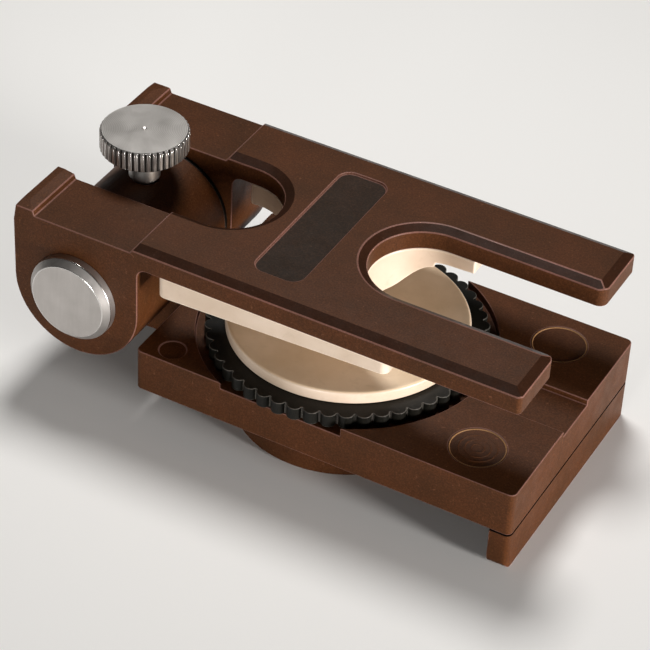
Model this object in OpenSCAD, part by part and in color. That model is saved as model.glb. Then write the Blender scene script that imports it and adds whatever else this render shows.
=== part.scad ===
// Watch movement holder: a base with a jack wheel and table, and a hinged clamp arm.
// Millimetres. +Z up, +X towards the fork tips. The origin is on the bench, on the table axis.

/* [View] */
// piece to draw

/* [Base] */
// back end of the slab, behind the table axis
base_back = 25.9; // [22:0.1:32]
// front end of the slab, ahead of the table axis
base_front = 39.8; // [30:0.1:50]
// width of the slab
base_w = 43.2; // [36:0.1:44.4]
// height of the slab's underside above the bench
slab_z = 7.1; // [5:0.05:9]
// height of the rear deck
deck_z = 14.6; // [12:0.05:17]
// extra height of the two front decks
deck_step = 0.45; // [0.2:0.05:1.5]
// width of the groove between the front decks
groove_w = 8.7; // [4:0.1:14]
// depth of the groove below the front decks
groove_d = 1.0; // [0.4:0.05:2]
// rounding of the slab's upright corners
base_r = 1.0; // [0.5:0.1:2]
// radius of the round well that holds the finger wheel
well_r = 24.0; // [22.6:0.1:25]
// height of the well floor
well_z = 13.5; // [12:0.05:13.8]
// radius of the large round marks on the front decks
mark_r = 4.5; // [2:0.1:6]
// radius of the small round marks on the rear deck
small_mark_r = 2.2; // [1:0.1:3]
// depth of the round marks
mark_d = 0.15; // [0.05:0.05:0.5]

/* [Foot bar and under-boss] */
// thickness of the foot bar along X
foot_t = 3.5; // [2:0.1:6]
// rounding of the foot bar's lower corners
foot_r = 1.6; // [0.5:0.1:3]
// radius of the round boss under the slab
boss_r = 17.9; // [15.8:0.1:20.5]
// chamfer on the boss's edges
boss_c = 0.3; // [0.1:0.05:0.8]
// radius of the circle of boss screws
boss_screw_pcr = 13.5; // [11:0.5:16]
// number of boss screws
boss_screw_n = 3; // [3:1:6]

/* [Finger wheel and table] */
// radius over the wheel's lobes
wheel_r = 22.6; // [21.4:0.05:23.4]
// number of lobes
lobe_n = 50; // [36:1:72]
// radius of one lobe
lobe_r = 1.25; // [0.8:0.05:1.6]
// depth of the valleys between lobes
valley_d = 0.95; // [0.4:0.05:1.2]
// height of the wheel's underside
wheel_z = 13.8; // [13.6:0.05:14.4]
// thickness of the wheel
wheel_t = 2.2; // [1.5:0.1:3.5]
// radius of the table
table_r = 19.4; // [14:0.1:20.5]
// thickness of the table
table_t = 2.05; // [1.6:0.05:3]
// rounding of the table's top edge
table_round = 0.45; // [0.2:0.05:0.8]
// radius of the lifting thread
lift_r = 3.0; // [2:0.1:4]
// side of the spindle's square guide
guide_w = 4.2; // [3:0.1:5]

/* [Hinge] */
// distance of the hinge axis behind the table axis
hinge_back = 37.75; // [37:0.05:44]
// height of the hinge axis
hinge_z = 19.8; // [17:0.05:24]
// radius of the barrel on the base
barrel_r = 10.6; // [8:0.05:10.9]
// width of the barrel
barrel_w = 15.4; // [12:0.1:16]
// radius of the ears' round ends
ear_r = 11.3; // [10:0.05:12]
// radius of the axle
axle_r = 3.0; // [2:0.1:4]
// radius of the axle's heads
head_r = 7.45; // [5:0.05:9]
// thickness of the axle's heads
head_t = 2.4; // [1.2:0.1:3]
// chamfer on the axle's heads
head_c = 1.0; // [0.3:0.1:1.2]
// running gap at bores and washers
run_gap = 0.05; // [0.02:0.01:0.1]

/* [Clamp arm] */
// width over the arm
arm_w = 40.7; // [34:0.1:42]
// reach of the fork tips ahead of the table axis
arm_front = 38.6; // [28:0.1:48]
// height of the arm's flat underside
arm_z = 29.35; // [27:0.05:34]
// height of the rear area's top
rear_top = 32.0; // [31:0.05:36]
// height of the arm's edge around the raised panel
edge_top = 32.5; // [31:0.05:37]
// height of the raised panel
panel_top = 33.3; // [32.6:0.05:38]
// plan width of the panel's bevel
bevel_w = 1.5; // [0.8:0.05:2.5]
// half width of the fork slot, and radius of its round end
slot_r = 9.05; // [6:0.05:11]
// centre of the slot's round end, ahead of the table axis
slot_x = 12.7; // [8:0.1:20]
// half width of the rear notch between the ears
notch_r = 8.45; // [8:0.05:10]
// centre of the notch's round end, behind the table axis
notch_back = 21.8; // [18:0.1:26]
// height of the ridges at the very back
ridge_h = 1.15; // [0.5:0.05:2]
// length of the ridges along the arm
ridge_w = 3.1; // [2:0.05:4]
// length of the label recess across the arm
recess_l = 30.0; // [10:0.5:34]
// width of the label recess
recess_w = 8.4; // [4:0.1:12]
// depth of the label recess
recess_d = 0.4; // [0.2:0.05:0.8]

/* [Clamp pad] */
// inset of the pad from the arm's sides
pad_inset = 0.2; // [0.1:0.05:2]
// back end of the pad, behind the table axis
pad_back = 23.0; // [18:0.1:24]
// front end of the pad, ahead of the table axis
pad_front = 16.8; // [15:0.1:30]
// thickness of the pad at its front end
pad_t_front = 2.4; // [2.3:0.05:4]
// thickness of the pad at its back end
pad_t_back = 4.0; // [2.5:0.05:6]
// outer radius of the flared nose under the pad
nose_r = 13.4; // [10:0.1:16]
// radius of the nose's flat end
nose_end_r = 6.0; // [3:0.1:8]
// height of the nose's flat end
nose_z = 22.35; // [19.5:0.05:24]
// height of the flare where it meets the nose's upright side
flare_z = 25.8; // [23:0.1:28]

/* [Thumb screw] */
// radius over the knurl
knob_r = 7.15; // [5:0.05:8]
// thickness of the knurled head
knob_t = 3.65; // [2:0.05:6]
// height of the head's top
knob_top = 39.45; // [36:0.05:46]
// number of knurl grooves
knurl_n = 44; // [24:1:72]
// radius of one knurl groove
knurl_r = 0.3; // [0.1:0.05:0.5]
// radius of the plain collar
collar_r = 2.55; // [2.4:0.05:4]
// gap between the collar and the barrel
collar_gap = 0.3; // [0.1:0.05:1]
// radius of the screw's thread
screw_r = 2.0; // [1.5:0.1:2.2]

/* [Hidden] */
$fn = 96;
eps = 0.01;
over = 1;
wall_fit = 0.03;
brown = [0.36, 0.22, 0.17];
ivory = [0.90, 0.80, 0.70];
black = [0.08, 0.08, 0.07];
steel = [0.66, 0.65, 0.64];
brass = [0.72, 0.58, 0.32];

hx = -hinge_back;
hz = hinge_z;
base_len = base_back + base_front;
front_deck_z = deck_z + deck_step;
groove_z = front_deck_z - groove_d;
mark_x = 30.2;
mark_y = 14.5;
small_mark_x = -21.0;
small_mark_y = 18.5;
riser_back = 42.0;
wheel_top = wheel_z + wheel_t;
table_gap = 0.1;
table_z = wheel_top + table_gap;
table_top = table_z + table_t;
sleeve_r = 6.0;
nut_flange_r = 8.0;
nut_flange_t = 1.8;
nut_z = slab_z + 0.55;
thrust_r = 9.5;
ring_t = 0.6;
ring_z = nut_z + ring_t;
ring_r = 8.2;
ring_seat_r = 9.0;
ring_seat_z = ring_z + ring_t + 0.1;
ring_neck_r = 5.4;
socket_z = 0.7;
spindle_z = 1.0;
square_top = nut_z + 1.0;
flange_r = 7.0;
flange_t = 0.8;
flange_z = table_z;
table_screw_n = 3;
table_screw_r = 0.75;
table_screw_len = 1.5;
table_head_r = 1.1;
table_head_t = 0.3;
table_screw_pcr = 5.2;
boss_shank_r = 1.05;
boss_head_r = 2.2;
boss_head_z = 1.7;
boss_sunk = 0.3;
boss_screw_top = 10.8;
foot_shank_r = 0.8;
foot_head_r = 1.3;
foot_head_z = 1.4;
foot_sunk = 0.5;
seam_h = 0.3;
seam_d = 0.35;
foot_screw_top = 10.7;
foot_screw_y = 14;
drill_deep = 0.5;
driver_w = 0.5;
driver_d = 0.5;
bush_r = 4.5;
bush_in = 2.8;
washer_r = barrel_r - 0.05;
barrel_top = hz + barrel_r;
insert_z = hz + 6.0;
insert_top = hz + 8.9;
insert_r = 3.4;
shoe_r = 2.2;
shoe_top = hz + 4.4;
point_r = 1.4;
point_top = insert_z - 2 * run_gap;
shaft_hole_r = 2.35;
knob_z = knob_top - knob_t;
collar_z = barrel_top + collar_gap;
knob_c = 0.35;
dimple_r = 0.4;
dimple_d = 0.15;
pad_screw_r = 0.9;
pad_screw_len = 4.2;
pad_head_r = 1.6;
pad_head_t = 0.9;
pad_head_top = arm_z - 1.2;
dowel_r = 0.8;
dowel_len = 5.5;
dowel_off = 5.2;
dowel_sunk = 0.5;
pad_r = 1.2;
ridge_end_w = 2.2;
ridge_end_drop = 0.36;
ridge_flat = 1.25;
ridge_fall = 0.3;
ridge_run = 0.3;
back_c = 0.5;
back_c_z = 1.9;
ring_slot_w = 3;
lobe_phase = 2.8;
tunnel_gap = 0.3;
washer_bore_gap = 0.08;
recess_x = -5.5;
recess_r = 2.2;
fillet_r = 1.7;
step_x = -27.7;
step_run = 0.8;
ear_front = hx + ear_r;
ear_back = hx - ear_r;
ridge_back = ear_back + back_c;
ridge_top = rear_top + ridge_h;
tip_r = 0.8;
mouth_r = 1.5;
flare_steps = 12;
axle_len = arm_w + 2 * wall_fit;

// ---------- helpers ----------

// Rounded rectangle from (x0, -w/2) to (x1, w/2).
module slab2d(x0, x1, w, r) {
    for (x = [x0 + r, x1 - r], y = [-w / 2 + r, w / 2 - r]) {
        translate([x, y])
            circle(r);
    }
    translate([x0 + r, -w / 2])
        square([x1 - x0 - 2 * r, w]);
    translate([x0, -w / 2 + r])
        square([x1 - x0, w - 2 * r]);
}

// Ring of outer radius r and inner radius bore, standing on height z.
module ring(r, bore, z, h) {
    translate([0, 0, z])
        difference() {
            cylinder(r = r, h = h);
            translate([0, 0, -over])
                cylinder(r = bore, h = h + 2 * over);
        }
}

// Places children on a circle of n stations.
module around(n, r) {
    for (i = [0 : n - 1]) {
        rotate([0, 0, i * 360 / n])
            translate([r, 0, 0])
                children();
    }
}

// Turns a Z-standing shape to lie along Y on the hinge axis, with z = 0 at Y = y.
module on_hinge(y) {
    translate([hx, y, hz])
        rotate([-90, 0, 0])
            children();
}

// Extrudes an XZ outline from Y = y0 to Y = y1.
module across(y0, y1) {
    translate([0, y1, 0])
        rotate([90, 0, 0])
            linear_extrude(y1 - y0)
                children();
}

// Extrudes a YZ outline from X = x0 to X = x1.
module along(x0, x1) {
    translate([x0, 0, 0])
        rotate([90, 0, 90])
            linear_extrude(x1 - x0)
                children();
}

// U-shaped opening: a round end at (x, 0) that runs out to x_end.
module u_cut2d(x, r, x_end) {
    translate([x, 0])
        circle(r);
    translate([min(x, x_end), -r])
        square([abs(x_end - x), 2 * r]);
}

// ---------- base ----------

module base_body() {
    color(brown)
        difference() {
            union() {
                translate([0, 0, slab_z])
                    linear_extrude(deck_z - slab_z)
                        slab2d(-base_back, base_front, base_w, base_r);
                translate([0, 0, deck_z - over])
                    linear_extrude(deck_step + over)
                        intersection() {
                            slab2d(-base_back, base_front, base_w, base_r);
                            translate([0, -base_w])
                                square([base_front + over, 2 * base_w]);
                        }
                riser();
            }
            well();
            axle_tunnel();
            screw_shaft_hole();
            base_marks();
            under_holes();
        }
}

// Web and barrel that carry the hinge.
module riser() {
    across(-barrel_w / 2, barrel_w / 2)
        union() {
            translate([hx, hz])
                circle(barrel_r);
            polygon([[-base_back + over, slab_z], [-base_back + over, deck_z], [hx + barrel_r, deck_z],
                [hx + barrel_r, hz], [hx - barrel_r, hz], [-riser_back - over, slab_z + over],
                [-riser_back, slab_z]]);
        }
}

module well() {
    translate([0, 0, well_z])
        cylinder(r = well_r, h = front_deck_z);
    translate([0, -groove_w / 2, groove_z])
        cube([base_front + over, groove_w, front_deck_z]);
    translate([0, 0, slab_z - over])
        cylinder(r = sleeve_r + run_gap, h = front_deck_z);
    translate([0, 0, slab_z - over])
        cylinder(r = ring_seat_r, h = ring_seat_z - slab_z + over);
}

module axle_tunnel() {
    on_hinge(-barrel_w)
        cylinder(r = axle_r + tunnel_gap, h = 2 * barrel_w);
    for (side = [-1, 1]) {
        on_hinge(side > 0 ? bush_in : -barrel_w)
            cylinder(r = bush_r + wall_fit, h = barrel_w - bush_in);
    }
}

module screw_shaft_hole() {
    translate([hx, 0, hz])
        cylinder(r = shoe_r + run_gap, h = insert_z - hz);
    translate([hx, 0, insert_z])
        cylinder(r = shaft_hole_r, h = barrel_r);
    translate([hx, 0, insert_z - wall_fit])
        cylinder(r = insert_r + wall_fit, h = insert_top - insert_z + 2 * wall_fit);
}

module base_marks() {
    for (side = [-1, 1]) {
        translate([mark_x, side * mark_y, front_deck_z - mark_d])
            cylinder(r = mark_r, h = over);
        translate([small_mark_x, side * small_mark_y, deck_z - mark_d])
            cylinder(r = small_mark_r, h = over);
    }
}

module under_holes() {
    around(boss_screw_n, boss_screw_pcr)
        translate([0, 0, slab_z - over])
            cylinder(r = boss_shank_r + wall_fit, h = over + boss_screw_top + drill_deep - slab_z);
    for (side = [-1, 1]) {
        translate([base_front - foot_t / 2, side * foot_screw_y, slab_z - over])
            cylinder(r = foot_shank_r + wall_fit, h = over + foot_screw_top + drill_deep - slab_z);
    }
}

// Plan of the foot bar, set in by inset on every side.
module foot2d(inset) {
    intersection() {
        slab2d(-base_back, base_front - inset, base_w - 2 * inset, base_r);
        translate([base_front - foot_t + inset, -base_w])
            square([foot_t, 2 * base_w]);
    }
}

module foot_bar() {
    color(brown)
        difference() {
            union() {
                linear_extrude(slab_z - seam_h)
                    foot2d(0);
                linear_extrude(slab_z)
                    foot2d(seam_d);
            }
            for (side = [-1, 1]) {
                mirror([0, side > 0 ? 1 : 0, 0])
                    along(base_front - foot_t - over, base_front + over)
                        foot_corner2d();
                translate([base_front - foot_t / 2, side * foot_screw_y, -over]) {
                    cylinder(r = foot_shank_r + wall_fit, h = slab_z + 2 * over);
                    cylinder(r = foot_head_r + wall_fit, h = over + foot_head_z + wall_fit);
                }
            }
        }
}

// What is cut away to round one lower corner of the foot bar.
module foot_corner2d() {
    translate([-base_w / 2, 0])
        difference() {
            translate([-over, -over])
                square([foot_r + over, foot_r + over]);
            translate([foot_r, foot_r])
                circle(foot_r);
        }
}

module foot_screws() {
    color(steel)
        for (side = [-1, 1]) {
            translate([base_front - foot_t / 2, side * foot_screw_y, foot_sunk])
                difference() {
                    union() {
                        cylinder(r = foot_head_r, h = foot_head_z - foot_sunk);
                        cylinder(r = foot_shank_r, h = foot_screw_top - foot_sunk);
                    }
                    translate([-foot_head_r, -driver_w / 2, -over])
                        cube([2 * foot_head_r, driver_w, over + driver_d]);
                }
        }
}

module hub_boss() {
    color(brown)
        difference() {
            rotate_extrude()
                polygon([[0, 0], [boss_r - boss_c, 0], [boss_r, boss_c], [boss_r, slab_z - seam_h],
                    [boss_r - seam_d, slab_z - seam_h], [boss_r - seam_d, slab_z], [0, slab_z]]);
            translate([-guide_w / 2 - run_gap, -guide_w / 2 - run_gap, socket_z])
                cube([guide_w + 2 * run_gap, guide_w + 2 * run_gap, slab_z]);
            around(boss_screw_n, boss_screw_pcr)
                translate([0, 0, -over]) {
                    cylinder(r = boss_shank_r + wall_fit, h = slab_z + 2 * over);
                    cylinder(r = boss_head_r + wall_fit, h = over + boss_head_z);
                }
        }
}

module boss_screws() {
    color(steel)
        around(boss_screw_n, boss_screw_pcr)
            difference() {
                union() {
                    translate([0, 0, boss_sunk])
                        cylinder(r = boss_head_r, h = boss_head_z - boss_sunk - wall_fit);
                    translate([0, 0, boss_sunk])
                        cylinder(r = boss_shank_r, h = boss_screw_top - boss_sunk);
                }
                translate([-boss_head_r, -driver_w / 2, -over])
                    cube([2 * boss_head_r, driver_w, over + boss_sunk + driver_d]);
            }
}

module thrust_washer() {
    color(brass)
        ring(thrust_r, sleeve_r + washer_bore_gap, well_z + eps, wheel_z - well_z - 3 * eps);
}

module hinge_bushes() {
    color(brass)
        for (side = [-1, 1]) {
            on_hinge(side > 0 ? bush_in + wall_fit : -barrel_w / 2)
                ring(bush_r, axle_r + run_gap, 0, barrel_w / 2 - bush_in - wall_fit);
        }
}

module hinge_washers() {
    washer_t = notch_r - barrel_w / 2 - 2 * run_gap;
    color(black)
        for (side = [-1, 1]) {
            on_hinge(side > 0 ? barrel_w / 2 + run_gap : -barrel_w / 2 - run_gap - washer_t)
                ring(washer_r, axle_r + 2 * run_gap, 0, washer_t);
        }
}

module screw_insert() {
    color(brass)
        translate([hx, 0, 0])
            ring(insert_r, screw_r + run_gap, insert_z, insert_top - insert_z);
}

// ---------- wheel ----------

module lobes2d() {
    circle(wheel_r - valley_d);
    for (i = [0 : lobe_n - 1]) {
        rotate(lobe_phase + i * 360 / lobe_n)
            translate([wheel_r - lobe_r, 0])
                circle(lobe_r, $fn = 32);
    }
}

module finger_wheel() {
    color(black)
        translate([0, 0, wheel_z])
            difference() {
                linear_extrude(wheel_t)
                    lobes2d();
                translate([0, 0, -over])
                    cylinder(r = sleeve_r + wall_fit, h = wheel_t + 2 * over);
                translate([0, 0, wheel_t - nut_flange_t])
                    cylinder(r = nut_flange_r + wall_fit, h = wheel_t);
            }
}

module wheel_nut() {
    color(brass)
        difference() {
            union() {
                translate([0, 0, nut_z])
                    cylinder(r = sleeve_r, h = wheel_top - nut_z - wall_fit);
                translate([0, 0, wheel_top - nut_flange_t + wall_fit])
                    cylinder(r = nut_flange_r, h = nut_flange_t - 2 * wall_fit);
            }
            translate([0, 0, nut_z - over])
                cylinder(r = lift_r + run_gap, h = wheel_top);
            ring(sleeve_r + over, ring_neck_r, ring_z, ring_t);
        }
}

module wheel_ring() {
    color(steel)
        difference() {
            ring(ring_r, ring_neck_r + wall_fit, ring_z + wall_fit, ring_t - 2 * wall_fit);
            translate([0, -ring_slot_w / 2, 0])
                cube([ring_r + over, ring_slot_w, wheel_z]);
        }
}

// ---------- table ----------

module lift_spindle() {
    color(steel)
        difference() {
            union() {
                translate([-guide_w / 2, -guide_w / 2, spindle_z])
                    cube([guide_w, guide_w, square_top - spindle_z + over]);
                translate([0, 0, square_top])
                    cylinder(r = lift_r, h = flange_z - square_top + eps);
                translate([0, 0, flange_z])
                    cylinder(r = flange_r, h = flange_t);
            }
            around(table_screw_n, table_screw_pcr)
                translate([0, 0, flange_z - over]) {
                    cylinder(r = table_screw_r + wall_fit, h = flange_t + 2 * over);
                    cylinder(r = table_head_r + wall_fit, h = over + 2 * run_gap + table_head_t);
                }
        }
}

module table_disc() {
    color(ivory)
        difference() {
            rotate_extrude()
                union() {
                    translate([0, table_z])
                        square([table_r, table_t - table_round]);
                    translate([0, table_z])
                        square([table_r - table_round, table_t]);
                    translate([table_r - table_round, table_top - table_round])
                        circle(table_round);
                }
            translate([0, 0, table_z - over])
                cylinder(r = flange_r + wall_fit, h = flange_t + wall_fit + over);
            around(table_screw_n, table_screw_pcr)
                translate([0, 0, table_z])
                    cylinder(r = table_screw_r + wall_fit, h = table_screw_len + 2 * run_gap);
        }
}

module table_screws() {
    color(steel)
        around(table_screw_n, table_screw_pcr)
            translate([0, 0, table_z + run_gap]) {
                cylinder(r = table_screw_r, h = table_screw_len);
                cylinder(r = table_head_r, h = table_head_t);
            }
}

// ---------- clamp arm ----------

module fork_cut2d() {
    u_cut2d(slot_x, slot_r, arm_front + over);
    for (side = [-1, 1]) {
        mirror([0, side > 0 ? 1 : 0])
            translate([arm_front - mouth_r, -slot_r - mouth_r])
                difference() {
                    square([mouth_r + over, mouth_r + eps]);
                    circle(mouth_r);
                }
    }
}

module notch_cut2d() {
    u_cut2d(-notch_back, notch_r, ear_back - over);
}

module clamp_arm() {
    color(brown)
        difference() {
            union() {
                arm_plate();
                arm_ears();
            }
            recess_cut();
            on_hinge(-arm_w)
                cylinder(r = axle_r + wall_fit, h = 2 * arm_w);
            translate([dowel_off, 0, 0])
                on_hinge(-arm_w / 2 - over)
                    cylinder(r = dowel_r + wall_fit, h = over + dowel_len);
            for (p = pad_screw_places()) {
                translate([p[0], p[1], arm_z - over])
                    cylinder(r = pad_screw_r + wall_fit, h = over + pad_screw_len / 2 + drill_deep);
            }
        }
}

// Flat plate with the raised panel: the bevels are cut away around it.
module arm_plate() {
    difference() {
        translate([0, 0, arm_z])
            linear_extrude(panel_top - arm_z)
                difference() {
                    slab2d(hx, arm_front, arm_w, tip_r);
                    fork_cut2d();
                    notch_cut2d();
                }
        // lower rear area, with the step up to the panel
        across(-arm_w, arm_w)
            polygon([[ear_back - over, rear_top], [step_x, rear_top], [step_x + step_run, panel_top],
                [step_x + step_run, panel_top + over], [ear_back - over, panel_top + over]]);
        // outer bevels
        for (side = [-1, 1]) {
            mirror([0, side > 0 ? 0 : 1, 0])
                along(ear_back - over, arm_front + over)
                    polygon([[arm_w / 2 - bevel_w, panel_top], [arm_w / 2, edge_top],
                        [arm_w / 2 + over, edge_top], [arm_w / 2 + over, panel_top + over],
                        [arm_w / 2 - bevel_w, panel_top + over]]);
        }
        // bevel at the tips
        across(-arm_w, arm_w)
            polygon([[arm_front - bevel_w, panel_top], [arm_front, edge_top], [arm_front + over, edge_top],
                [arm_front + over, panel_top + over], [arm_front - bevel_w, panel_top + over]]);
        u_bevel(slot_x, slot_r, arm_front + over);
        u_bevel(-notch_back, notch_r, ear_back - over);
    }
}

// Bevelled mouth around a U-shaped opening.
module u_bevel(x, r, x_end) {
    translate([x, 0, 0])
        rotate_extrude()
            polygon([[0, edge_top], [r, edge_top], [r + bevel_w, panel_top], [r + bevel_w, panel_top + over],
                [0, panel_top + over]]);
    along(min(x, x_end), max(x, x_end))
        polygon([[-r, edge_top], [r, edge_top], [r + bevel_w, panel_top], [r + bevel_w, panel_top + over],
            [-r - bevel_w, panel_top + over], [-r - bevel_w, panel_top]]);
}

module arm_ears() {
    ear_w = arm_w / 2 - notch_r;
    for (side = [-1, 1]) {
        mirror([0, side > 0 ? 0 : 1, 0])
            difference() {
                across(notch_r, notch_r + ear_w)
                    ear2d();
                // end bevel of the ridge
                along(ear_back - over, ear_back + ridge_w + 2 * over)
                    polygon([[arm_w / 2 - ridge_end_w, ridge_top],
                        [arm_w / 2 + over, ridge_top - ridge_end_drop], [arm_w / 2 + over, ridge_top + over],
                        [arm_w / 2 - ridge_end_w, ridge_top + over]]);
            }
    }
}

// Ear outline in XZ: round end, upright sides, ridge on top and a fillet under the plate.
module ear2d() {
    translate([hx, hz])
        circle(ear_r);
    translate([ear_back, hz])
        square([2 * ear_r, rear_top - hz - back_c_z]);
    polygon([[ear_back, rear_top - back_c_z - eps], [ridge_back, ridge_top],
        [ridge_back + ridge_flat, ridge_top], [ridge_back + ridge_w, ridge_top - ridge_fall],
        [ridge_back + ridge_w + ridge_run, rear_top], [ear_front, rear_top],
        [ear_front, rear_top - back_c_z - eps]]);
    difference() {
        translate([ear_front - eps, arm_z - fillet_r])
            square([fillet_r + eps, fillet_r + eps]);
        translate([ear_front + fillet_r, arm_z - fillet_r])
            circle(fillet_r);
    }
}

module recess_cut() {
    translate([recess_x, 0, panel_top - recess_d])
        linear_extrude(over + recess_d)
            slab2d(-recess_w / 2, recess_w / 2, recess_l, recess_r);
}

// ---------- clamp pad ----------

function pad_screw_places() = [[-16.5, -15], [-16.5, 15], [13.2, -15], [13.2, 15]];

module clamp_pad() {
    color(ivory)
        difference() {
            union() {
                intersection() {
                    across(-arm_w / 2, arm_w / 2)
                        polygon([[-pad_back, arm_z], [pad_front, arm_z], [pad_front, arm_z - pad_t_front],
                            [-pad_back, arm_z - pad_t_back]]);
                    translate([0, 0, nose_z])
                        linear_extrude(arm_z - nose_z)
                            slab2d(-pad_back, pad_front, arm_w - 2 * pad_inset, pad_r);
                }
                nose();
            }
            translate([0, 0, nose_z - over])
                linear_extrude(arm_z - nose_z + 2 * over) {
                    u_cut2d(slot_x, slot_r, arm_front);
                    u_cut2d(-notch_back, notch_r, ear_back);
                }
            for (p = pad_screw_places()) {
                translate([p[0], p[1], nose_z]) {
                    cylinder(r = pad_screw_r + wall_fit, h = arm_z);
                    cylinder(r = pad_head_r + wall_fit, h = pad_head_top - nose_z);
                }
            }
        }
}

// Flared nose that presses on the movement. The flare is half a cosine wave.
module nose() {
    flare_w = nose_r - nose_end_r;
    flare_h = flare_z - nose_z;
    rotate_extrude()
        polygon(concat(
            [[0, arm_z - eps], [nose_r, arm_z - eps]],
            [for (i = [0 : flare_steps]) [nose_r - flare_w * i / flare_steps,
                nose_z + flare_h * (1 + cos(180 * i / flare_steps)) / 2]],
            [[0, nose_z]]));
}

module pad_screws() {
    color(steel)
        for (p = pad_screw_places()) {
            translate([p[0], p[1], pad_head_top - pad_head_t])
                difference() {
                    union() {
                        cylinder(r = pad_head_r, h = pad_head_t - wall_fit);
                        cylinder(r = pad_screw_r, h = pad_screw_len);
                    }
                    translate([-pad_head_r, -driver_w / 2, -over])
                        cube([2 * pad_head_r, driver_w, over + driver_d]);
                }
        }
}

// ---------- axle ----------

// Chamfered disc head, flat side on z = 0.
module axle_head() {
    rotate_extrude()
        polygon([[0, 0], [head_r, 0], [head_r, head_t - head_c], [head_r - head_c, head_t], [0, head_t]]);
}

module hinge_axle() {
    color(steel)
        difference() {
            union() {
                on_hinge(-axle_len / 2)
                    cylinder(r = axle_r, h = axle_len);
                on_hinge(-axle_len / 2)
                    mirror([0, 0, 1])
                        axle_head();
            }
            translate([dowel_off, 0, 0])
                on_hinge(-axle_len / 2 - dowel_sunk - run_gap)
                    cylinder(r = dowel_r + wall_fit, h = over);
        }
}

module axle_nut() {
    color(steel)
        on_hinge(axle_len / 2)
            difference() {
                axle_head();
                translate([0, 0, -over])
                    cylinder(r = axle_r + wall_fit, h = over + wall_fit);
            }
}

module axle_dowel() {
    color(steel)
        translate([dowel_off, 0, 0])
            on_hinge(-axle_len / 2 - dowel_sunk)
                cylinder(r = dowel_r, h = dowel_len);
}

// ---------- thumb screw ----------

module clamp_shoe() {
    color(brass)
        difference() {
            translate([hx, 0, hz + point_r])
                cylinder(r = shoe_r, h = shoe_top - hz - point_r);
            on_hinge(-barrel_w)
                cylinder(r = axle_r + run_gap, h = 2 * barrel_w);
        }
}

module knurl2d() {
    difference() {
        circle(knob_r);
        for (i = [0 : knurl_n - 1]) {
            rotate(i * 360 / knurl_n)
                translate([knob_r, 0])
                    circle(knurl_r, $fn = 16);
        }
    }
}

module thumb_screw() {
    color(steel)
        translate([hx, 0, 0])
            difference() {
                union() {
                    intersection() {
                        translate([0, 0, knob_z])
                            linear_extrude(knob_t)
                                knurl2d();
                        rotate_extrude()
                            polygon([[0, knob_z], [knob_r - knob_c, knob_z], [knob_r, knob_z + knob_c],
                                [knob_r, knob_top - knob_c], [knob_r - knob_c, knob_top], [0, knob_top]]);
                    }
                    translate([0, 0, collar_z])
                        cylinder(r = collar_r, h = knob_z - collar_z + eps);
                    translate([0, 0, shoe_top + run_gap])
                        cylinder(r = point_r, h = collar_z - shoe_top);
                    translate([0, 0, point_top])
                        cylinder(r = screw_r, h = collar_z - point_top + eps);
                }
                translate([0, 0, knob_top - dimple_d])
                    cylinder(r1 = 0, r2 = dimple_r, h = dimple_d);
            }
}

// ---------- selection ----------

base_body();
foot_bar();
foot_screws();
hub_boss();
boss_screws();
thrust_washer();
hinge_bushes();
hinge_washers();
screw_insert();
finger_wheel();
wheel_nut();
wheel_ring();
lift_spindle();
table_disc();
table_screws();
clamp_arm();
clamp_pad();
pad_screws();
hinge_axle();
axle_nut();
axle_dowel();
clamp_shoe();
thumb_screw();
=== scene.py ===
import math

import bmesh
import bpy
from mathutils import Matrix, Vector


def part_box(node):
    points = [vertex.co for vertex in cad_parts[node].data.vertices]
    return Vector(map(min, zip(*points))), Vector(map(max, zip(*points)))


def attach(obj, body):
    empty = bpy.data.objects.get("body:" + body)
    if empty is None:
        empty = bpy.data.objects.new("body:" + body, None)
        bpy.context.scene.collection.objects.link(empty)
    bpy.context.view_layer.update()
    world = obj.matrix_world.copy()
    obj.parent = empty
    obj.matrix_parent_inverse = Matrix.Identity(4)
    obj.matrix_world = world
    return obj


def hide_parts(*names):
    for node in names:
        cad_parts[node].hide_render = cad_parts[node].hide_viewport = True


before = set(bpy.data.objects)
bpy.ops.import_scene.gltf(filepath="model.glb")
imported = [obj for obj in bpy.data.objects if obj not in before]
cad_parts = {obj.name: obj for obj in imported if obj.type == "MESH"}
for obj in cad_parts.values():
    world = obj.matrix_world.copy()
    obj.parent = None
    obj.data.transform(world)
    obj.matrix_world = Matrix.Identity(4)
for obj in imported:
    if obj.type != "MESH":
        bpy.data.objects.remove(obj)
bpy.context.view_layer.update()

MM = 0.001


def box_mm(node):
    """A node's lowest and highest corners at rest, in millimetres."""
    return [[c / MM for c in corner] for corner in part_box(node)]


def middle(node):
    low, high = box_mm(node)
    return [(a + b) / 2 for a, b in zip(low, high)]


HINGE_X, _, HINGE_Z = middle("axle_nut")


# ---------- node helpers ----------

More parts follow.
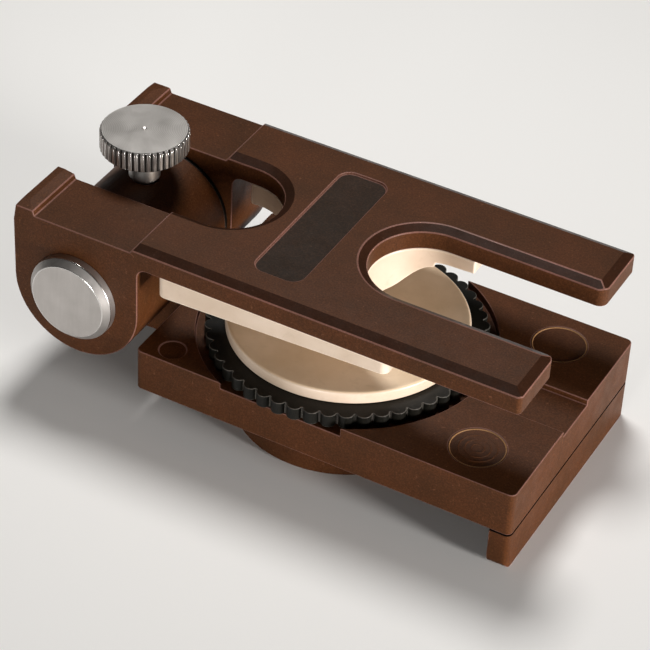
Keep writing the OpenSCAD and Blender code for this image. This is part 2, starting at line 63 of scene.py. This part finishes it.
class Nodes:
    """Short names for building one material's node tree."""

    def __init__(self, name):
        self.mat = bpy.data.materials.new(name)
        self.mat.use_nodes = True
        self.tree = self.mat.node_tree
        self.tree.nodes.clear()
        self.out = self.add("ShaderNodeOutputMaterial")
        self.bsdf = self.add("ShaderNodeBsdfPrincipled")
        self.link(self.bsdf, "BSDF", self.out, "Surface")
        self.coord = self.add("ShaderNodeTexCoord")

    def add(self, kind, **props):
        node = self.tree.nodes.new(kind)
        for key, value in props.items():
            setattr(node, key, value)
        return node

    def link(self, a, a_out, b, b_in):
        self.tree.links.new(a.outputs[a_out], b.inputs[b_in])

    def put(self, node, **values):
        for key, value in values.items():
            node.inputs[key.replace("_", " ")].default_value = value
        return node

    def mapped(self, scale=(1, 1, 1), rotation=(0, 0, 0), location=(0, 0, 0)):
        node = self.add("ShaderNodeMapping")
        node.inputs["Scale"].default_value = scale
        node.inputs["Rotation"].default_value = rotation
        node.inputs["Location"].default_value = location
        self.link(self.coord, "Object", node, "Vector")
        return node

    def noise(self, scale, detail=3.0, rough=0.55, source=None, distortion=0.0):
        node = self.add("ShaderNodeTexNoise")
        self.put(node, Scale=scale, Detail=detail, Roughness=rough, Distortion=distortion)
        if source is None:
            self.link(self.coord, "Object", node, "Vector")
        else:
            self.link(source, "Vector", node, "Vector")
        return node

    def ramp(self, source, out, stops):
        node = self.add("ShaderNodeValToRGB")
        ramp = node.color_ramp
        while len(ramp.elements) < len(stops):
            ramp.elements.new(0.5)
        for element, (pos, col) in zip(ramp.elements, stops):
            element.position = pos
            element.color = (*col, 1) if len(col) == 3 else col
        self.link(source, out, node, "Fac")
        return node

    def remap(self, source, out, lo, hi, to_lo, to_hi):
        node = self.add("ShaderNodeMapRange")
        self.put(node, From_Min=lo, From_Max=hi, To_Min=to_lo, To_Max=to_hi)
        self.link(source, out, node, "Value")
        return node

    def mix(self, fac, a, b, kind="MIX"):
        """fac, a and b are (node, socket) pairs, colours or numbers."""
        node = self.add("ShaderNodeMix", data_type="RGBA", blend_type=kind)
        for value, socket in ((fac, node.inputs[0]), (a, node.inputs[6]), (b, node.inputs[7])):
            if isinstance(value, tuple) and hasattr(value[0], "outputs"):
                self.tree.links.new(value[0].outputs[value[1]], socket)
            elif isinstance(value, tuple):
                socket.default_value = (*value, 1)
            else:
                socket.default_value = value
        return node

    def bump(self, source, out, distance, strength=1.0, below=None):
        node = self.add("ShaderNodeBump")
        self.put(node, Strength=strength, Distance=distance)
        self.link(source, out, node, "Height")
        if below is not None:
            self.link(below, "Normal", node, "Normal")
        return node


# ---------- materials ----------

def moulded(name, dark, mid, light, rough, grain=1.0, speck=0.35):
    """Moulded thermoset: fine grain, faint clouds, and a scatter of pale specks."""
    n = Nodes(name)
    clouds = n.noise(120, 4, 0.6)
    grain_tex = n.noise(3600, 4, 0.7)
    base = n.ramp(grain_tex, "Fac", [(0.30, dark), (0.5, mid), (0.72, light)])
    tint = n.ramp(clouds, "Fac", [(0.3, (0.80, 0.84, 0.80)), (0.7, (1.12, 1.08, 1.08))])
    colour = n.mix(1.0, (base, "Color"), (tint, "Color"), "MULTIPLY")
    specks = n.noise(1500, 1, 0.5)
    spot = n.remap(specks, "Fac", 0.70, 0.80, 0.0, speck)
    colour = n.mix((spot, "Result"), (colour, 2), tuple(min(1.0, 1.9 * c + 0.02) for c in light))
    n.tree.links.new(colour.outputs[2], n.bsdf.inputs["Base Color"])
    r = n.remap(n.noise(420, 4, 0.6), "Fac", 0.3, 0.7, rough - 0.07, rough + 0.07)
    n.link(r, "Result", n.bsdf, "Roughness")
    low = n.bump(n.noise(260, 2, 0.5), "Fac", 0.00004 * grain, 0.5)
    fine = n.bump(grain_tex, "Fac", 0.00003 * grain, 0.55, low)
    n.link(fine, "Normal", n.bsdf, "Normal")
    n.bsdf.inputs["Specular IOR Level"].default_value = 0.14
    return n.mat


def smooth_plastic(name, dark, light, rough, dirt_and_groove_shade, scratch=0.4):
    """Smooth plastic with faint clouds, handling marks and hair scratches."""
    n = Nodes(name)
    clouds = n.noise(140, 4, 0.55)
    base = n.ramp(clouds, "Fac", [(0.32, dark), (0.68, light)])
    smears = n.noise(420, 5, 0.65, distortion=1.2)
    fac = n.remap(smears, "Fac", 0.56, 0.78, 0.0, 0.30)
    colour = n.mix((fac, "Result"), (base, "Color"), dirt_and_groove_shade)
    n.tree.links.new(colour.outputs[2], n.bsdf.inputs["Base Color"])
    r = n.remap(n.noise(700, 4, 0.6), "Fac", 0.3, 0.7, rough - 0.06, rough + 0.08)
    n.link(r, "Result", n.bsdf, "Roughness")
    lines = n.noise(300, 5, 0.7, n.mapped((18, 0.6, 6), (0, 0, 0.7)))
    hair = n.bump(lines, "Fac", 0.000012, scratch)
    fine = n.bump(n.noise(2400, 2, 0.5), "Fac", 0.000012, 0.5, hair)
    n.link(fine, "Normal", n.bsdf, "Normal")
    return n.mat


def metal(name, dark, light, rough, pattern, depth=0.000012, groove=None):
    """Machined metal. pattern is turned (rings about the piece's own Z), brushed (lines) or plain.

    groove is a pair of radii in mm: upright faces between them darken towards the smaller one, painted shade
    deep in the grooves.
    """
    n = Nodes(name)
    if pattern == "turned":
        rings = n.add("ShaderNodeTexWave", wave_type="RINGS", rings_direction="Z")
        n.put(rings, Scale=1150, Distortion=1.4, Detail=2.0, Detail_Scale=0.4)
        n.link(n.coord, "Object", rings, "Vector")
        lines, out = rings, "Fac"
    elif pattern == "brushed":
        lines, out = n.noise(1500, 4, 0.65, n.mapped((1.0, 1.0, 0.07))), "Fac"
    else:
        lines, out = n.noise(1800, 3, 0.6), "Fac"
    clouds = n.noise(260, 4, 0.6)
    both = n.mix(0.6, (lines, out), (clouds, "Fac"))
    colour = n.ramp(both, 2, [(0.25, dark), (0.75, light)])
    colour_out = (colour, "Color")
    # Painted shade: upright faces between the two radii darken towards black at the smaller one.
    if groove:
        flat = n.add("ShaderNodeVectorMath", operation="MULTIPLY")
        flat.inputs[1].default_value = (1, 1, 0)
        n.link(n.coord, "Object", flat, 0)
        reach = n.add("ShaderNodeVectorMath", operation="LENGTH")
        n.link(flat, 0, reach, 0)
        deep = n.remap(reach, "Value", groove[0] * MM, groove[1] * MM, 0.04, 1.0)
        shallow = n.mix((deep, "Result"), (0.0, 0.0, 0.0), (1.0, 1.0, 1.0))
        geometry = n.add("ShaderNodeNewGeometry")
        split = n.add("ShaderNodeSeparateXYZ")
        n.link(geometry, "Normal", split, "Vector")
        upright = n.remap(split, "Z", 0.25, 0.6, 1.0, 0.0)
        rim = n.remap(reach, "Value", 0.8 * groove[0] * MM, 0.82 * groove[0] * MM, 0.0, 1.0)
        both_masks = n.add("ShaderNodeMath", operation="MULTIPLY")
        n.link(upright, "Result", both_masks, 0)
        n.link(rim, "Result", both_masks, 1)
        dirt_and_groove_shade = n.mix((both_masks, "Value"), (1.0, 1.0, 1.0), (shallow, 2))
        colour = n.mix(1.0, (colour, "Color"), (dirt_and_groove_shade, 2), "MULTIPLY")
        colour_out = (colour, 2)
    n.tree.links.new(colour_out[0].outputs[colour_out[1]], n.bsdf.inputs["Base Color"])
    r = n.remap(both, 2, 0.2, 0.8, rough - 0.06, rough + 0.08)
    n.link(r, "Result", n.bsdf, "Roughness")
    nicks = n.bump(n.noise(900, 5, 0.7, distortion=0.4), "Fac", 0.000010, 0.3)
    fine = n.bump(lines, out, depth, 0.5, nicks)
    n.link(fine, "Normal", n.bsdf, "Normal")
    n.bsdf.inputs["Metallic"].default_value = 1.0
    return n.mat


BROWN = moulded("brown_plastic",
                (0.043, 0.0138, 0.0038), (0.066, 0.0210, 0.0056), (0.106, 0.037, 0.012), 0.52)
# Lighter brown for the rounded edges: a painted highlight.
BROWN_EDGE_HIGHLIGHT = moulded("brown_edge_painted_highlight",
                     (0.125, 0.058, 0.044), (0.170, 0.080, 0.062), (0.22, 0.105, 0.083), 0.42, 0.5, 0.1)
# Light tan for the raised rims of the moulding marks: a painted highlight.
BROWN_MARK_HIGHLIGHT = moulded("brown_mark_painted_highlight",
                     (0.19, 0.095, 0.040), (0.25, 0.130, 0.056), (0.33, 0.175, 0.080), 0.45, 0.6, 0.2)
BROWN_FLOOR = moulded("brown_recess",
                      (0.016, 0.009, 0.005), (0.027, 0.014, 0.008), (0.048, 0.025, 0.014), 0.62, 2.2, 0.2)
# Darker brown for the bevel facets round the arm's panel: painted shade.
BROWN_BEVEL_SHADE = moulded("brown_bevel_painted_shade",
                      (0.020, 0.0075, 0.0035), (0.027, 0.010, 0.005), (0.040, 0.0155, 0.008), 0.34, 0.7, 0.2)
IVORY = smooth_plastic("ivory_plastic", (0.62, 0.480, 0.362), (0.72, 0.580, 0.462), 0.36, (0.46, 0.33, 0.21))
# Lighter ivory for the pad's rounded edges: a painted highlight.
IVORY_EDGE_HIGHLIGHT = smooth_plastic("ivory_edge_painted_highlight",
                            (0.76, 0.62, 0.49), (0.84, 0.70, 0.57), 0.32, (0.58, 0.44, 0.31), 0.2)
BLACK = moulded("black_plastic",
                (0.0040, 0.0038, 0.0030), (0.0065, 0.0060, 0.0048), (0.011, 0.0103, 0.008), 0.38, 0.8)
# Grey-black for the rounded edges of the wheel and washers: a painted highlight.
BLACK_EDGE_HIGHLIGHT = moulded("black_edge_painted_highlight",
                     (0.050, 0.045, 0.040), (0.075, 0.068, 0.060), (0.11, 0.10, 0.09), 0.28, 0.6, 0.2)
# Near-black for the gap under the base's slab: painted shade.
SEAM_SHADE = moulded("seam_painted_shade", (0.0035, 0.0025, 0.0020), (0.0050, 0.0035, 0.0028), (0.008, 0.006, 0.005), 0.75)
# Yellower tan ivory for the table's level faces: painted shade from the brown arm above.
TABLE_IVORY_SHADE = smooth_plastic("table_ivory_painted_shade",
                             (0.66, 0.495, 0.325), (0.78, 0.61, 0.435), 0.38, (0.42, 0.29, 0.16))
TURNED = metal("satin_turned", (0.46, 0.435, 0.41), (0.62, 0.595, 0.57), 0.36, "turned", groove=(6.85, 7.05))
BRUSHED = metal("satin_brushed", (0.44, 0.415, 0.395), (0.57, 0.54, 0.52), 0.42, "brushed")
# Lighter metal for the rounded edges of the screw and axle: a painted highlight.
BRIGHT_EDGE_HIGHLIGHT = metal("satin_painted_highlight", (0.64, 0.62, 0.60), (0.78, 0.76, 0.74), 0.20, "plain")
STEEL = metal("screw_steel", (0.42, 0.41, 0.40), (0.56, 0.55, 0.54), 0.30, "plain")
BRASS = metal("brass", (0.56, 0.38, 0.15), (0.72, 0.51, 0.24), 0.30, "plain")


# ---------- geometry helpers ----------

MERGE = 2e-6
FLAT_ANGLE = 0.6
LEVEL_NORMAL = 0.85
SLIGHT = 15
LEVEL_CRISP = 3
AXIS_MERGE = 1e-8
LATHE_SHARP = 40
BEAD_SUNK = 0.1


def rounded(node, body, mats, width, segments=3, angle=20, crisp=12, origin=(0, 0, 0), paint=None,
            also=None, plain=()):
    """A copy of a CAD node with its hard edges rounded, in place of the node.

    Edges over angle degrees are rounded and take the second material, a lighter copy that paints their
    highlight. Those from crisp to angle stay sharp, as do the slight ones between level faces. paint(centre,
    normal), in mm, gives a face's material number, and also(centre) picks slight edges to round too. Edges of
    faces whose number is in plain are left alone.
    """
    bm = bmesh.new()
    bm.from_mesh(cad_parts[node].data)
    bmesh.ops.remove_doubles(bm, verts=bm.verts, dist=MERGE)
    bmesh.ops.dissolve_limit(bm, angle_limit=math.radians(FLAT_ANGLE), use_dissolve_boundaries=False,
                             verts=bm.verts, edges=bm.edges, delimit=set())
    for f in bm.faces:
        f.smooth = True
        f.material_index = paint(f.calc_center_median() / MM, f.normal) if paint else 0
    weight = bm.edges.layers.float.new("bevel_weight_edge")
    for e in bm.edges:
        if e.is_manifold:
            bend = math.degrees(e.calc_face_angle())
            level = all(abs(f.normal.z) > LEVEL_NORMAL for f in e.link_faces)
            centre = (e.verts[0].co + e.verts[1].co) / 2 / MM
            hard = bend >= angle or bool(also and level and bend > SLIGHT and also(centre))
            hard = hard and not any(f.material_index in plain for f in e.link_faces)
            e[weight] = 1.0 if hard else 0.0
            e.smooth = hard or bend <= (LEVEL_CRISP if level else crisp)
    bmesh.ops.translate(bm, verts=bm.verts, vec=[-c * MM for c in origin])
    mesh = bpy.data.meshes.new(node + "_look")
    bm.to_mesh(mesh)
    bm.free()
    loaded = mesh.attributes.get("custom_normal")
    if loaded:
        mesh.attributes.remove(loaded)
    for m in mats:
        mesh.materials.append(m)
    obj = bpy.data.objects.new(node + "_look", mesh)
    bpy.context.scene.collection.objects.link(obj)
    obj.location = [c * MM for c in origin]
    mod = obj.modifiers.new("edges", "BEVEL")
    mod.width = width * MM
    mod.segments = segments
    mod.limit_method = "WEIGHT"
    mod.use_clamp_overlap = False
    mod.harden_normals = True
    mod.miter_outer = "MITER_ARC"
    # The rounded edges take the lighter second material: a painted highlight.
    mod.material = 1
    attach(obj, body)
    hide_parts(node)
    return obj


def lathe(name, profile, segments=96):
    """profile, a list of (r, z) in mm, turned about Z: a ring, or a solid when it starts on the axis."""
    bm = bmesh.new()
    loops = []
    for i in range(segments):
        a = 2 * math.pi * i / segments
        loops.append([bm.verts.new((r * math.cos(a) * MM, r * math.sin(a) * MM, z * MM))
                      for r, z in profile])
    count = len(profile)
    for i in range(segments):
        j = (i + 1) % segments
        for k in range(count if profile[0][0] else count - 1):
            m = (k + 1) % count
            bm.faces.new((loops[i][k], loops[j][k], loops[j][m], loops[i][m]))
    bmesh.ops.remove_doubles(bm, verts=bm.verts, dist=AXIS_MERGE)
    bmesh.ops.recalc_face_normals(bm, faces=bm.faces)
    for f in bm.faces:
        f.smooth = True
    for e in bm.edges:
        e.smooth = not (e.is_manifold and math.degrees(e.calc_face_angle()) > LATHE_SHARP)
    mesh = bpy.data.meshes.new(name)
    bm.to_mesh(mesh)
    bm.free()
    obj = bpy.data.objects.new(name, mesh)
    bpy.context.scene.collection.objects.link(obj)
    return obj


def bead(r, z, half, height, steps=6):
    """Profile of a low round-topped ring at radius r, standing on z and sunk a little into it."""
    arc = [(r + half * math.cos(math.pi * k / steps), z + height * math.sin(math.pi * k / steps))
           for k in range(steps + 1)]
    return arc + [(r - half, z - BEAD_SUNK), (r + half, z - BEAD_SUNK)]


def arc_points(r, z, radius, start, end, steps=6):
    """Points of a quarter round about (r, z), for a lathe profile."""
    turns = [math.radians(start + (end - start) * k / steps) for k in range(steps + 1)]
    return [(r + radius * math.cos(a), z + radius * math.sin(a)) for a in turns]


# ---------- visible pieces ----------

ARM_TOP = box_mm("clamp_arm")[1][2]
RECESS_DEPTH = 0.4
BEVEL_DROP = 1.0
NEAR = 0.02
SLOT_REACH = 13
SEAM_HEIGHT = 0.31
PLAIN, FLOOR, BEVEL = 0, 2, 3
HARD = 50


def arm_paint(centre, normal):
    """The floor of the label recess is darker and rougher. The bevels round the panel are glossier and
    painted darker: painted shade on those facets.
    """
    if normal.z > 0.99 and abs(ARM_TOP - RECESS_DEPTH - centre.z) < NEAR:
        return FLOOR
    return BEVEL if 0.8 < normal.z < 0.95 and centre.z > ARM_TOP - BEVEL_DROP else PLAIN


def fork_slot_edge(centre):
    """The panel's edge along the fork slot is rounded and takes the painted highlight, unlike its outer edge.
    """
    return centre.x > 0 and abs(centre.y) < SLOT_REACH


def seam_shade_paint(top):
    """A painter that fills the shadow gap under a moulding's top with painted shade."""
    return lambda centre, normal: FLOOR if centre.z > top - SEAM_HEIGHT else PLAIN


BROWNS = [BROWN, BROWN_EDGE_HIGHLIGHT, BROWN_FLOOR, BROWN_BEVEL_SHADE]
SEAM_SHADE_BROWNS = [BROWN, BROWN_EDGE_HIGHLIGHT, SEAM_SHADE]
BLACKS = [BLACK, BLACK_EDGE_HIGHLIGHT]
SCREW_AXIS = (HINGE_X, 0, 0)
HINGE_AXIS = (HINGE_X, 0, HINGE_Z)
rounded("clamp_arm", "arm", BROWNS, 0.15, angle=HARD, paint=arm_paint, also=fork_slot_edge)
rounded("base_body", "base", BROWNS, 0.14, angle=HARD)
# The top band of the foot bar and the hub boss takes the near-black seam material: painted shade in the gap
# under the slab.
for node, width in (("foot_bar", 0.12), ("hub_boss", 0.10)):
    rounded(node, "base", SEAM_SHADE_BROWNS, width, angle=HARD, paint=seam_shade_paint(box_mm(node)[1][2]),
            plain=(FLOOR,))
rounded("clamp_pad", "arm", [IVORY, IVORY_EDGE_HIGHLIGHT], 0.30)
rounded("finger_wheel", "wheel", BLACKS, 0.10, angle=HARD)
rounded("hinge_washers", "base", BLACKS, 0.05, angle=HARD)
rounded("thumb_screw", "screw", [TURNED, BRIGHT_EDGE_HIGHLIGHT], 0.035, angle=HARD, origin=SCREW_AXIS)
for node in ("hinge_axle", "axle_nut"):
    rounded(node, "arm", [BRUSHED, BRIGHT_EDGE_HIGHLIGHT], 0.12, origin=HINGE_AXIS)


def table():
    """The table, turned as one piece: a soft top edge, a small lower one and the spindle's seat below."""
    low, high = box_mm("table_disc")
    r, z0, z1 = high[0], low[2], high[2]
    top, foot, land = 0.45, 0.15, 0.4
    seat_r, seat_z = 7.05, z0 + 0.85
    profile = [(0, z1), (r - top - land, z1)] + arc_points(r - top, z1 - top, top, 90, 0)
    profile += arc_points(r - foot, z0 + foot, foot, 0, -90, 3)
    profile += [(seat_r, z0), (seat_r, seat_z), (0, seat_z)]
    obj = lathe("table_disc_look", profile, 160)
    for material in (TABLE_IVORY_SHADE, IVORY):
        obj.data.materials.append(material)
    # Level faces take the tan copy of the ivory as painted shade; the upright rim keeps the plain ivory.
    for face in obj.data.polygons:
        face.material_index = 1 if abs(face.normal.z) < 0.7 else 0
    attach(obj, "table")
    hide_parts("table_disc")


table()

MARK_X, MARK_Y = 30.2, 14.5
MARK_DEPTH = 0.15
MARK_HALF = 0.13
DECK_Z = max(v.co.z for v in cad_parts["base_body"].data.vertices if v.co.x > 0) / MM


def marks():
    """Rims of the round moulding marks on the two front decks, painted light tan as a highlight, and faint
    rings inside the near one.
    """
    rims = [("near", -1, 4.35, 0.13, BROWN_MARK_HIGHLIGHT), ("far", 1, 4.35, 0.13, BROWN_MARK_HIGHLIGHT)]
    rings = [("near", -1, r, 0.06, BROWN) for r in (3.0, 2.0, 1.0)]
    for number, (word, side, r, height, mat) in enumerate(rims + rings):
        obj = lathe(f"mark_{word}_{number}", bead(r, DECK_Z - MARK_DEPTH, MARK_HALF, height), 72)
        obj.location = (MARK_X * MM, side * MARK_Y * MM, 0)
        obj.data.materials.append(mat)
        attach(obj, "base")


marks()

def coat(nodes, material):
    """Gives hidden or small CAD nodes their material."""
    for node in nodes:
        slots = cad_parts[node].data.materials
        slots.clear()
        slots.append(material)


coat(("foot_screws", "boss_screws", "wheel_ring", "lift_spindle", "table_screws", "pad_screws", "axle_dowel"),
     STEEL)
coat(("thrust_washer", "hinge_bushes", "screw_insert", "wheel_nut", "clamp_shoe"), BRASS)


# ---------- stage, lights, camera ----------

FLOOR_GAP = 0.03
FLOOR_HALF = 4.0

bm = bmesh.new()
bmesh.ops.create_grid(bm, x_segments=2, y_segments=2, size=FLOOR_HALF)
mesh = bpy.data.meshes.new("floor")
bm.to_mesh(mesh)
bm.free()
floor = bpy.data.objects.new("floor", mesh)
bpy.context.scene.collection.objects.link(floor)
floor.location = (0, 0, -FLOOR_GAP * MM)
pale = Nodes("floor")
pale.put(pale.bsdf, Roughness=0.9, Base_Color=(0.90, 0.895, 0.885, 1))
floor.data.materials.append(pale.mat)

world = bpy.data.worlds.new("studio")
world.use_nodes = True
sky = world.node_tree.nodes["Background"].inputs
sky["Color"].default_value = (1.0, 0.985, 0.96, 1)
sky["Strength"].default_value = 0.05
bpy.context.scene.world = world


# The lights face this point, half way up the part.
LIGHT_AIM = Vector((0, 0, 0.02))


def area(name, direction, distance, size, power, colour=(1, 1, 1)):
    light = bpy.data.lights.new(name, "AREA")
    light.shape = "DISK"
    light.size = size
    light.energy = power
    light.color = colour
    obj = bpy.data.objects.new(name, light)
    d = Vector(direction).normalized()
    obj.location = LIGHT_AIM + d * distance
    obj.rotation_mode = "QUATERNION"
    obj.rotation_quaternion = d.to_track_quat("Z", "Y")
    bpy.context.scene.collection.objects.link(obj)


area("top", (-0.06, 0.10, 0.30), 0.32, 0.11, 0.80, (1.0, 0.985, 0.96))
area("front", (1.0, -0.15, 0.08), 0.7, 0.14, 8.0, (1.0, 0.97, 0.94))
area("side", (0.10, -1.0, 0.10), 0.7, 0.16, 2.2, (1.0, 0.98, 0.95))

SENSOR = 36.0
FOCAL = 148.897883
AZIMUTH, ELEVATION, ROLL = math.radians(-62.994), math.radians(38.611), math.radians(3.212)
AIM = Vector((4.589, -16.95, 29.382)) * MM
DISTANCE = 402.161


def place_camera():
    """The camera stands at the photograph's viewing angle, with its slight roll."""
    data = bpy.data.cameras.new("camera")
    data.sensor_width = SENSOR
    data.lens = FOCAL
    data.clip_start = 0.01
    data.clip_end = 20.0
    camera = bpy.data.objects.new("camera", data)
    bpy.context.scene.collection.objects.link(camera)
    away = Vector((math.cos(ELEVATION) * math.cos(AZIMUTH), math.cos(ELEVATION) * math.sin(AZIMUTH),
                   math.sin(ELEVATION)))
    level = (-away).cross(Vector((0, 0, 1))).normalized()
    upright = level.cross(-away)
    right = level * math.cos(ROLL) + upright * math.sin(ROLL)
    up = upright * math.cos(ROLL) - level * math.sin(ROLL)
    turn = Matrix((right, up, away)).transposed().to_4x4()
    camera.matrix_world = Matrix.Translation(AIM + away * DISTANCE * MM) @ turn
    bpy.context.scene.camera = camera


place_camera()
bpy.context.scene.view_settings.view_transform = "Standard"
